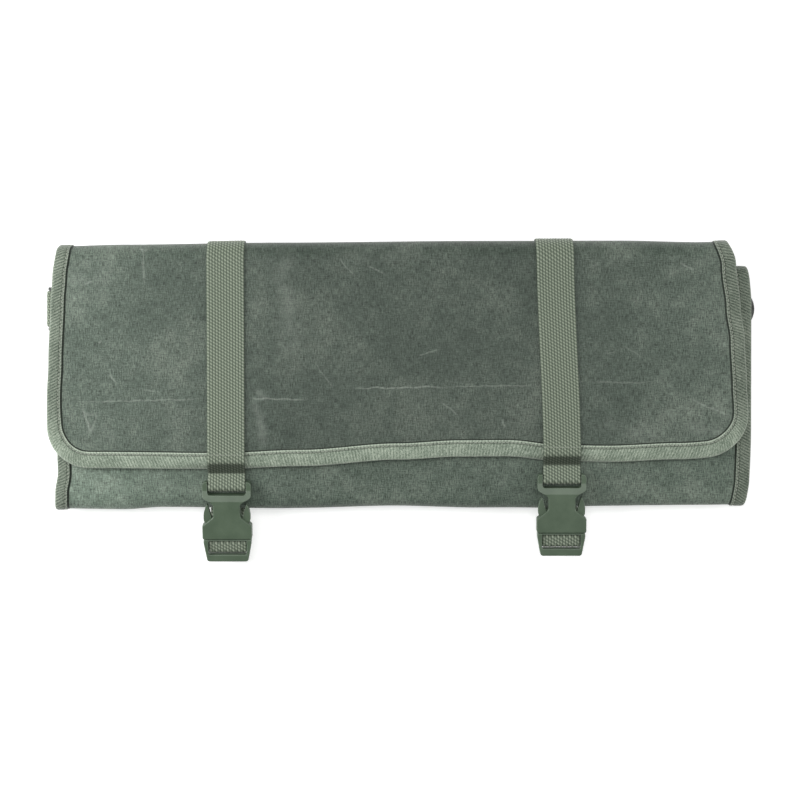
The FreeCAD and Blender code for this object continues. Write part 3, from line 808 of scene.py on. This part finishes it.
def tape_cloth():
    """Ribbed grey-green tape, paler on its ribs and selvedge, with a painted highlight on its fold and
    painted shadow beside it.
    """
    shader = Shader("binding_tape", roughness=0.72, sheen=0.3, specular=0.3)
    cloth = shader.cloth()
    parts = shader.split(cloth)
    wobble = shader.math("MULTIPLY_ADD", shader.noise(cloth, 0.7, 2), 0.9, -0.45)
    along = shader.math("ADD", parts["X"], wobble)
    rib = shader.math("COSINE", shader.times(along, 2 * math.pi / (RIB / MM)))
    rib = shader.times(rib, shader.spread(shader.noise(cloth, 0.55, 3, 0.7), 0.36, 0.6, 0.15, 1.0))
    fine = shader.noise(shader.stretch(cloth, (1.6, 0.9, 1)), 1.0, 3, 0.75)
    tone = shader.math("MULTIPLY_ADD", rib, shader.spread(parts["Z"], 0.9, 1.4, 0.21, 0.11), fine)
    tone = shader.math("ADD", tone, shader.times(shader.noise(cloth, 0.08, 3), 0.3))
    colour = shader.ramp(tone, [(0.42, (0.075, 0.1, 0.072)), (0.65, (0.2, 0.245, 0.19)),
                                (0.9, (0.42, 0.47, 0.38))])
    rim = shader.band(parts["Y"], (9.95, 10.25), (11.0, 10.8))
    rim = shader.times(rim, shader.spread(rib, -1.0, 0.5, 0.25, 0.9))
    # Painted highlight: paler along the tape's outer fold
    fold = shader.times(shader.spread(parts["Y"], 1.5, 0.4), 0.3)
    colour = shader.blend(shader.math("MAXIMUM", rim, fold), colour, (0.44, 0.5, 0.41))
    # Painted light and shade: the tape is lit or shaded along its length by its cloth Z
    colour = shader.blend(1.0, colour, shade_colour(shader, parts["Z"]), "MULTIPLY")
    # Painted shadow: near-black on the skirt beyond the selvedge, and painted shade in a band along the
    # stitches' groove
    selvedge_shadow = shader.times(shader.spread(parts["Y"], 10.9, 11.05), 0.93)
    seam_groove_shade = shader.band(parts["Y"], (8.2, 8.6), (9.8, 9.5))
    selvedge_shadow = shader.math("MAXIMUM", selvedge_shadow, shader.times(seam_groove_shade, 0.5))
    shader.feed("Base Color", shader.blend(selvedge_shadow, colour, (0.012, 0.02, 0.013)))
    shader.feed("Normal", shader.bump(tone, 0.6, 0.22))
    return shader.material


def webbing_cloth():
    """Coarse grey-green webbing: knots of twisted yarn, darker between them."""
    shader = Shader("webbing", roughness=0.68, sheen=0.25, specular=0.35)
    cloth = shader.cloth()
    parts = shader.split(cloth)
    column = shader.math("FRACT", parts["X"])
    odd = shader.math("MODULO", shader.math("FLOOR", parts["X"]), 2.0)
    thread = shader.math("SINE", shader.times(column, math.pi))
    phase = shader.math("MULTIPLY_ADD", parts["Y"], 2 * math.pi / (KNOT / MM), shader.times(odd, math.pi))
    beat = shader.math("MULTIPLY_ADD", shader.math("COSINE", phase), 0.5, 0.5)
    height = shader.times(thread, shader.math("MULTIPLY_ADD", beat, 0.6, 0.4))
    yarn = shader.noise(shader.stretch(cloth, (4.0, 2.2, 1)), 1.0, 2, 0.7)
    tone = shader.total((height, 0.6), (yarn, 0.4))
    colour = shader.ramp(tone, [(0.16, (0.045, 0.062, 0.04)), (0.42, (0.165, 0.205, 0.15)),
                                (0.8, (0.4, 0.455, 0.35))])
    # Painted shade: the weave goes near-black on the run where the strap dives
    painted_dive_shade = shader.times(parts["Z"], 0.72)
    shader.feed("Base Color", shader.blend(painted_dive_shade, colour, (0.018, 0.027, 0.016)))
    shader.feed("Normal", shader.bump(yarn, 0.5, 0.2))
    return shader.material


def thread_cloth(name, colour):
    """Spun thread in one colour, a little darker here and there."""
    shader = Shader(name, roughness=0.55, sheen=0.3)
    cloth = shader.cloth()
    tone = shader.noise(cloth, 1.2, 2)
    shader.feed("Base Color", shader.ramp(tone, [(0.3, tuple(c * 0.75 for c in colour)), (0.7, colour)]))
    shader.feed("Normal", shader.bump(tone, 0.3, 0.1))
    return shader.material


def moulded_plastic():
    """Satin grey-green acetal with a faint mould grain and painted highlights along its edges."""
    shader = Shader("buckle_plastic", roughness=0.42, specular=0.5)
    place = shader.place()
    grain = shader.noise(place, 2200.0, 3, 0.6)
    cloudy = shader.noise(place, 90.0, 3, 0.55)
    tone = shader.total((cloudy, 0.75), (grain, 0.25))
    colour = shader.ramp(tone, [(0.35, (0.088, 0.13, 0.083)), (0.65, (0.12, 0.17, 0.112))])
    soft_edge = shader.node("Bevel", "Normal", {"Radius": 0.65 * MM}, samples=4)
    plain = shader.node("NewGeometry", "Normal", {})
    turned = shader.node("VectorMath", "Value", {0: soft_edge, 1: plain}, operation="DOT_PRODUCT")
    # Painted highlight: paler where the bevelled normal turns from the plain one, along the edges
    edge_highlight = shader.times(shader.spread(turned, 0.995, 0.86), shader.spread(cloudy, 0.3, 0.6, 0.5, 1.0))
    edge_highlight = shader.times(edge_highlight, 0.85)
    shader.feed("Base Color", shader.blend(edge_highlight, colour, (0.38, 0.46, 0.37)))
    shader.feed("Roughness", shader.spread(grain, 0.3, 0.7, 0.36, 0.48))
    shader.feed("Normal", shader.bump(grain, 0.12, 0.05, soft_edge))
    return shader.material


def dark_metal():
    """Gunmetal plating with fine scratches."""
    shader = Shader("ring_metal", roughness=0.32, metallic=1.0)
    place = shader.place()
    scratch = shader.noise(shader.stretch(place, (300, 2600, 2600)), 1.0, 3, 0.7)
    cloudy = shader.noise(place, 160.0, 3)
    colour = shader.ramp(cloudy, [(0.35, (0.06, 0.064, 0.06)), (0.7, (0.12, 0.126, 0.118))])
    shader.feed("Base Color", colour)
    shader.feed("Roughness", shader.spread(scratch, 0.3, 0.7, 0.24, 0.46))
    shader.feed("Normal", shader.bump(scratch, 0.15, 0.05))
    return shader.material


canvas_look = waxed_canvas()
lining_look = plain_cloth("lining_cloth", (0.06, 0.075, 0.06), (0.16, 0.185, 0.15), 0.5)
pocket_look = plain_cloth("pocket_canvas", (0.075, 0.09, 0.07), (0.19, 0.215, 0.17), 0.7)
tape_look = tape_cloth()
strap_look = webbing_cloth()
thread_look = thread_cloth("pale_thread", (0.42, 0.47, 0.38))
plastic_look = moulded_plastic()
metal_look = dark_metal()
QUICK = 1  # quick meshes have steps twice as long


# ------ the rolled sheet
GAP = 0.02 * MM  # between the canvas and its lining
PANEL_SPAN = (-215.5 * MM, 110 * MM)  # where the sleeves' panel and the cover lie, in x
COVER_SPAN = (80 * MM, 222 * MM)


def rides_both(piece):
    """Bakes the piece's placing into its mesh, for cloth that runs over the top fold."""
    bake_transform(piece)


def layer(name, node, grid, outer, inner, material, slot):
    """Cloth between two depths of the sheet, in place of its plain CAD node."""
    piece = cloth_slab(name, grid, outer, inner, material, slot)
    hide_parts(node)
    return piece


def make_shell():
    """The canvas and its lining, each in two parts that meet on the back: the flap and the rest."""
    outer = layer("outer_canvas", "flap_canvas", flap_grid(0.5 * MM, 1.7 * MM * QUICK), 0.0, CANVAS,
                  canvas_look, "waxed_canvas")
    rides_both(outer)
    lining = layer("outer_lining", "flap_lining", flap_grid(0.9 * MM, 4 * MM), CANVAS + GAP, SHEET,
                   lining_look, "lining_cloth")
    rides_both(lining)
    inner = layer("inner_canvas", "shell_canvas", end_grid(0.5 * MM, 2.6 * MM * QUICK), 0.0, CANVAS,
                  canvas_look, "waxed_canvas")
    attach(inner, "root")
    inner_lining = layer("inner_lining", "shell_lining", end_grid(0.9 * MM, 5 * MM), CANVAS + GAP, SHEET,
                         lining_look, "lining_cloth")
    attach(inner_lining, "root")
    return outer, lining, inner, inner_lining


def make_inside():
    """The sleeves' panel and the cover that folds over the tool tips, rolled up out of sight."""
    start, end, under = V_INNER + 4 * MM, V_END - 18 * MM, SHEET + POCKET
    panel = layer("sleeve_panel", "pocket_panel", end_grid(0, 5 * MM, start, end, PANEL_SPAN),
                  SHEET + 0.03 * MM, under, pocket_look, "pocket_canvas")
    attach(panel, "root")
    cover = layer("tip_cover", "cover_flap", end_grid(0, 5 * MM, start, end, COVER_SPAN),
                  under + 0.03 * MM, under + COVER, pocket_look, "pocket_canvas")
    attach(cover, "root")
    return panel, cover


FRONT_SPOTS = 240  # steps of the tape's route along the flap's front edge
CORE_TAPE = 0.4435  # length of the tape along the sheet's inner end


def make_tapes():
    """The tape round the flap, along both ends of the rest of the sheet, and along its inner end."""
    rows = flap_rows(0.0, 2 * MM)
    route = [flap_spot(1, d) for d in reversed(rows)]
    route += [flap_spot(1 - i / FRONT_SPOTS, 0) for i in range(1, FRONT_SPOTS)]
    route += [flap_spot(0, d) for d in rows]
    flap_tape, flap_seam = tape_with_stitches("flap_tape", route[::-1], 0.47 * MM * QUICK, tape_share)
    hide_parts("flap_binding")
    rides_both(flap_tape)
    rides_both(flap_seam)
    pieces = [flap_tape, flap_seam]
    marks = steps(V_SEAM, V_END, 2 * MM)
    left = [(smooth(LEFT_END, v), v) for v in reversed(marks)]
    right = [(smooth(RIGHT_END, v), v) for v in marks]
    core = [(smooth(RIGHT_END, V_END) - 11 * MM - t * CORE_TAPE, V_END) for t in steps(1.0, 0.0, 0.01)]
    for name, node, route, size, share in (
            ("left_end_tape", "left_end_binding", left, 0.5 * MM, tape_share),
            ("right_end_tape", "right_end_binding", right, 0.5 * MM, tape_share),
            ("core_tape", "core_edge_binding", core[::-1], 0.7 * MM, lambda x, v: 1.0)):
        band, seam = tape_with_stitches(name, route, size * QUICK, share)
        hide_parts(node)
        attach(band, "root")
        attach(seam, "root")
        pieces += [band, seam]
    return pieces


# ------ straps
DIVE_SHADE_RUN = 11 * MM  # the strap is painted in shade this far from where it dives
TACK_ROW = 9.5 * MM  # its tacking stitches lie this far up from the flap's front edge

# The tail straps. Each climbs to its buckle at this angle, and starts to follow the buckle this far
# from its anchor, over this length. Under the tail half are a short tuck and the free end (all in mm).
CLIMB = {"left": 20.0, "right": 30.0}
TAIL_TUCK = {"left": 5.0, "right": 7.0}
FREE_END = {"left": 4.8, "right": 12.0}


def make_strap(side):
    """The strap from the back to the buckle's bar, and the row of tacking on the flap's tape."""
    path = strap_path(side)
    v_start = V_BACK + (TOP - FOLD - low("back_strap_" + side, 1))
    v_edge = MIDDLE + smooth(FRONT_EDGE, STRAP_X[side])
    place = on_strap(side, v_start, v_edge)
    dive = v_start - v_edge - DIVE_START
    strap = webbing(side + "_strap", path, STRAP_WIDTH, PLY, place, QUICK, (dive, dive + DIVE_SHADE_RUN))
    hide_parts("front_strap_" + side, "back_strap_" + side)
    rides_both(strap)
    half = STRAP_WIDTH / 2 - 1.2 * MM
    marks = steps(-half, half, 1.9 * MM)
    s = v_start - v_edge - TACK_ROW
    rows = [((a, s), (a + 1.4 * MM, s + 0.3 * MM)) for a in marks[:-1]]
    tack = threads(side + "_strap_tack", rows,
                   lambda spot, lift: place(spot[1], spot[0], PLY - 0.1 * MM + lift, path),
                   "webbing", 0.3 * MM)
    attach(tack, "flap")


def straight_place(x0):
    """Placing for webbing that keeps to one x."""
    def place(s, x, lift, path):
        spot = path.at(s, lift)
        return Vector((x + x0, spot.y, spot.z))
    return place


def make_tail(side):
    """The tail strap, from its sewn anchor over the tail half's bar, and its folded anchor."""
    anchor_y = low("tail_anchor_" + side, 1)
    inboard = high("tail_anchor_" + side, 1)
    climb = CLIMB[side]
    tilt = math.radians(TILT[side])

    def buckle_point(distance, lift):
        return BAR[side] + heading(math.pi + tilt) * distance + heading(math.pi / 2 + tilt) * lift

    path = Path(anchor_y, PLY, 180).line(24 * MM).turn(14 * MM, climb)
    path.reach(buckle_point(39.65 * MM, 1.2 * MM), 2.6 * MM, 90 + TILT[side])
    path.turn(0.45 * MM, -90).line(4.8 * MM).turn(0.45 * MM, -90)
    path.line(TAIL_TUCK[side] * MM)
    path.turn(0.8 * MM, math.degrees(path.angle) - (360 - climb)).line(FREE_END[side] * MM)
    place = straight_place(STRAP_X[side])
    tail = webbing(side + "_tail_strap", path, STRAP_WIDTH, PLY, place, QUICK)
    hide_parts("tail_strap_" + side)
    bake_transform(tail)
    flat = inboard - anchor_y - PLY
    fold = Path(anchor_y, 2 * PLY, 0).line(flat).turn(PLY, 180).line(flat)
    anchor = webbing(side + "_tail_anchor", fold, STRAP_WIDTH, PLY - 0.02 * MM, place, 2)
    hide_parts("tail_anchor_" + side)
    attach(anchor, "root")


def make_tab(side):
    """Webbing doubled round a ring's bar, sewn under the end of the back panel."""
    loop, pinch, close, reach = 2.55 * MM, 35.0, 6.5 * MM, 26 * MM
    bar = Vector(joint("ring_swing_" + side)["pos_m"])
    path = Path(-reach, loop, 0).line(reach).turn(loop, 180 + pinch)
    path.reach(Vector((0, -close, loop - 2 * TAB_PLY - 0.1 * MM)), 1.5 * MM, -180)
    path.line(reach - close)
    spin = Matrix.Translation(bar) @ Matrix.Rotation(math.radians(90 if side == "left" else -90), 4, "Z")
    tab = webbing(side + "_ring_tab", path, 24 * MM, TAB_PLY,
                  lambda s, x, lift, p: spin @ (p.at(s, lift) + Vector((x, 0, 0))), QUICK)
    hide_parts("d_ring_tab_" + side)
    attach(tab, "root")


# ------ hardware kept from the CAD
def finish_hardware():
    """Materials for the buckles, their arms and the rings."""
    for name, piece in frame["nodes"].items():
        look = metal_look if name.startswith("d_ring_") else plastic_look
        if name.startswith(("buckle_", "prong_", "d_ring_")) and "tab" not in name:
            for slot in piece.material_slots:
                slot.material = look
            if not piece.material_slots:
                piece.data.materials.append(look)


# ------ floor, light and camera
def make_floor():
    """A pale floor that gives off a little light of its own, so that it stays white round the roll."""
    mesh = bpy.data.meshes.new("floor")
    reach = 4
    corners = [(-reach, -reach, 0), (reach, -reach, 0), (reach, reach, 0), (-reach, reach, 0)]
    mesh.from_pydata(corners, [], [(0, 1, 2, 3)])
    shader = Shader("pale_floor", roughness=0.9, specular=0.1)
    shader.surface.inputs["Base Color"].default_value = (0.93, 0.93, 0.93, 1)
    shader.surface.inputs["Emission Color"].default_value = (1, 1, 1, 1)
    shader.surface.inputs["Emission Strength"].default_value = 0.5
    mesh.materials.append(shader.material)
    floor = bpy.data.objects.new("floor", mesh)
    bpy.context.scene.collection.objects.link(floor)


def add_light(name, spot, size, watts, aim=(0, 0, 0)):
    light = bpy.data.lights.new(name, "AREA")
    light.shape = "RECTANGLE"
    light.size, light.size_y = size
    light.energy = watts
    lamp = bpy.data.objects.new(name, light)
    lamp.location = spot
    lamp.rotation_euler = (Vector(aim) - Vector(spot)).to_track_quat("-Z", "Y").to_euler()
    bpy.context.scene.collection.objects.link(lamp)


def light_scene():
    """A large soft overhead light, a near box on the left, a weaker one on the right."""
    add_light("overhead", (0, 0.35, 2.2), (1.2, 1.2), 20)
    add_light("left_box", (-0.85, 0.12, 0.45), (0.45, 0.8), 7)
    add_light("right_box", (1.2, 0.12, 0.55), (0.6, 1.0), 6)
    world = bpy.data.worlds.new("studio")
    world.use_nodes = True
    background = world.node_tree.nodes["Background"].inputs
    background["Color"].default_value = (1, 1, 1, 1)
    background["Strength"].default_value = 0.08
    bpy.context.scene.world = world
    bpy.context.scene.view_settings.view_transform = "Standard"


def place_camera():
    """Straight above, far off with a long lens; the roll fills most of the frame's width."""
    camera = bpy.data.objects.new("camera", bpy.data.cameras.new("camera"))
    camera.data.lens = 85
    camera.data.sensor_width = 36
    view_width = 0.536
    distance = view_width * camera.data.lens / camera.data.sensor_width
    camera.location = (0.0003, MIDDLE - 16.4 * MM, FRONT_Z + distance)
    bpy.context.scene.collection.objects.link(camera)
    bpy.context.scene.camera = camera


# ------ assembly
make_floor()
light_scene()
place_camera()
outer_canvas, outer_lining, inner_canvas, inner_lining = make_shell()
sleeve_panel, tip_cover = make_inside()
tape_pieces = make_tapes()
for side in SIDES:
    make_strap(side)
    make_tail(side)
    make_tab(side)
finish_hardware()

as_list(tape_pieces[:2])
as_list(tape_pieces[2:])
